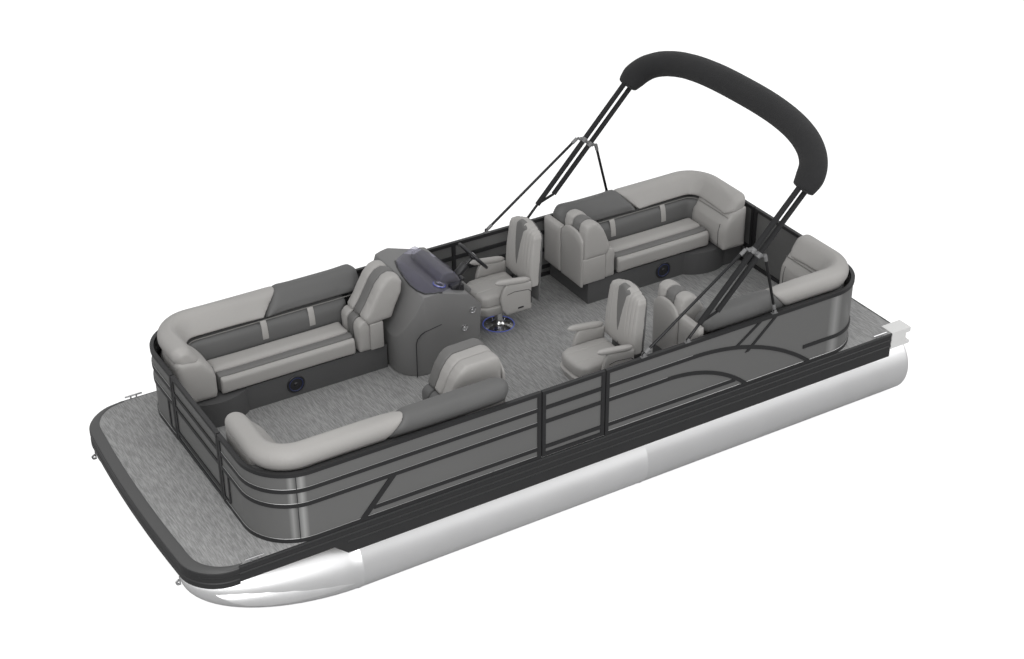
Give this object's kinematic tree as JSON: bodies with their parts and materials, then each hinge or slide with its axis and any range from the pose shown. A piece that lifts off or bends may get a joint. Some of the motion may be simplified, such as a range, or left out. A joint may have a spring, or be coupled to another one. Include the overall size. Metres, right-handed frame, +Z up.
{
  "type": "pontoon boat",
  "caption": "Twin-tube pontoon boat with a railed deck, corner lounges, helm console, swivel chairs, gates and a folded shade frame.",
  "frame": {"origin": "middle of the boat's box, on the floor under the keels", "axes": "+X towards the bow, +Y to port, +Z up; the keel strips stand on Z = 0"},
  "size_m": [7.06, 2.824, 3.0329],
  "materials": {
    "pontoon_aluminium": "satin mill-finish tube",
    "structure_aluminium": "mill-finish structure",
    "polished_steel": "polished stainless",
    "deck_wood": "plywood",
    "woven_floor": "woven vinyl flooring",
    "black_trim": "black anodised extrusion",
    "grey_nosing": "dark moulded nosing",
    "white_cap": "white moulded corner",
    "rail_paint": "satin black rail",
    "panel_paint": "gloss grey panel",
    "base_plastic": "moulded dark base",
    "light_vinyl": "marine vinyl, light warm grey",
    "console_plastic": "moulded grey console",
    "tinted_screen": "tinted acrylic",
    "black_plastic": "black moulded parts",
    "black_canvas": "black canvas",
    "black_tube": "black coated tube",
    "grey_fitting": "grey moulded fittings"
  },
  "bodies": {
    "hull": {"pontoon_port": "pontoon_aluminium", "pontoon_starboard": "pontoon_aluminium", "bow_eyes": "polished_steel", "tube_brackets": "structure_aluminium", "cross_members": "structure_aluminium", "motor_pod": "structure_aluminium", "deck_board": "deck_wood", "flooring": "woven_floor", "side_skirt_port": "black_trim", "side_skirt_starboard": "black_trim", "bow_nosing": "grey_nosing", "stern_trim": "black_trim", "corner_caps": "white_cap", "mooring_cleats": "polished_steel", "fence_frame_port_bow": "rail_paint", "fence_panel_port_bow": "panel_paint", "fence_frame_port_stern": "rail_paint", "fence_panel_port_stern": "panel_paint", "fence_frame_starboard_bow": "rail_paint", "fence_panel_starboard_bow": "panel_paint", "fence_frame_starboard_stern": "rail_paint", "fence_panel_starboard_stern": "panel_paint", "bow_port_base": "base_plastic", "bow_port_backrest": "light_vinyl", "bow_port_chaise": "light_vinyl", "bow_starboard_base": "base_plastic", "bow_starboard_backrest": "light_vinyl", "bow_starboard_chaise": "light_vinyl", "stern_port_base": "base_plastic", "stern_port_backrest": "light_vinyl", "stern_port_chaise": "light_vinyl", "stern_starboard_base": "base_plastic", "stern_starboard_backrest": "light_vinyl", "stern_starboard_chaise": "light_vinyl", "console": "console_plastic", "windscreen": "tinted_screen", "dash": "black_plastic", "helm_pedestal": "polished_steel", "guest_pedestal": "polished_steel", "shade_feet": "grey_fitting"},
    "bow_gate": {"bow_gate_frame": "rail_paint", "bow_gate_panel": "panel_paint"},
    "side_gate": {"side_gate_frame": "rail_paint", "side_gate_panel": "panel_paint"},
    "stern_gate": {"stern_gate_frame": "rail_paint", "stern_gate_panel": "panel_paint"},
    "bow_port_lid": {"bow_port_seat": "light_vinyl"},
    "bow_starboard_lid": {"bow_starboard_seat": "light_vinyl"},
    "stern_port_lid": {"stern_port_seat": "light_vinyl"},
    "stern_starboard_lid": {"stern_starboard_seat": "light_vinyl"},
    "steering": {"steering_wheel": "black_plastic"},
    "helm_chair": {"helm_seat": "light_vinyl", "helm_back": "light_vinyl"},
    "guest_chair": {"guest_seat": "light_vinyl", "guest_back": "light_vinyl"},
    "shade": {"shade_legs": "black_tube", "shade_boot": "black_canvas"},
    "front_braces": {"shade_front_braces": "black_tube"},
    "rear_braces": {"shade_rear_braces": "black_tube"}
  },
  "joints": [
    {"name": "bow_gate_swing", "type": "hinge", "parent": "hull", "child": "bow_gate", "pos_m": [2.92, -0.48, 1.14], "axis": [0, 0, -1], "range_deg": [0, 100]},
    {"name": "side_gate_swing", "type": "hinge", "parent": "hull", "child": "side_gate", "pos_m": [0.5, 1.252, 1.14], "axis": [0, 0, 1], "range_deg": [0, 90]},
    {"name": "stern_gate_swing", "type": "hinge", "parent": "hull", "child": "stern_gate", "pos_m": [-2.902, 0.38, 1.14], "axis": [0, 0, 1], "range_deg": [0, 90]},
    {"name": "bow_port_lid_lift", "type": "hinge", "parent": "hull", "child": "bow_port_lid", "pos_m": [1.85, 0.92, 1.235], "axis": [-1, 0, 0], "range_deg": [0, 75]},
    {"name": "bow_starboard_lid_lift", "type": "hinge", "parent": "hull", "child": "bow_starboard_lid", "pos_m": [1.85, -0.92, 1.235], "axis": [1, 0, 0], "range_deg": [0, 75]},
    {"name": "stern_port_lid_lift", "type": "hinge", "parent": "hull", "child": "stern_port_lid", "pos_m": [-2.02, 0.92, 1.235], "axis": [-1, 0, 0], "range_deg": [0, 75]},
    {"name": "stern_starboard_lid_lift", "type": "hinge", "parent": "hull", "child": "stern_starboard_lid", "pos_m": [-2.02, -0.92, 1.235], "axis": [1, 0, 0], "range_deg": [0, 75]},
    {"name": "steering_turn", "type": "hinge", "parent": "hull", "child": "steering", "pos_m": [-0.042, -0.745, 1.578], "axis": [-0.766, 0, 0.6428], "range_deg": [-540, 540]},
    {"name": "helm_chair_swivel", "type": "hinge", "parent": "hull", "child": "helm_chair", "pos_m": [-0.27, -0.7, 1], "axis": [0, 0, 1], "range_deg": [-90, 90]},
    {"name": "guest_chair_swivel", "type": "hinge", "parent": "hull", "child": "guest_chair", "pos_m": [-0.4, 0.73, 1], "axis": [0, 0, 1], "continuous": true},
    {"name": "shade_fold", "type": "hinge", "parent": "hull", "child": "shade", "pos_m": [-0.924, 0, 1.478], "axis": [0, -1, 0], "range_deg": [0, 31]},
    {"name": "front_brace_swing", "type": "hinge", "parent": "hull", "child": "front_braces", "pos_m": [-0.483, 0, 1.478], "axis": [0, -1, 0], "range_deg": [0, 21.3]},
    {"name": "rear_brace_swing", "type": "hinge", "parent": "hull", "child": "rear_braces", "pos_m": [-1.83, 0, 1.478], "axis": [0, -1, 0], "range_deg": [0, 98]}
  ],
  "couplings": [
    {"joint": "front_brace_swing", "follows": "shade_fold", "ratio": 0.685},
    {"joint": "rear_brace_swing", "follows": "shade_fold", "ratio": 3.15}
  ]
}
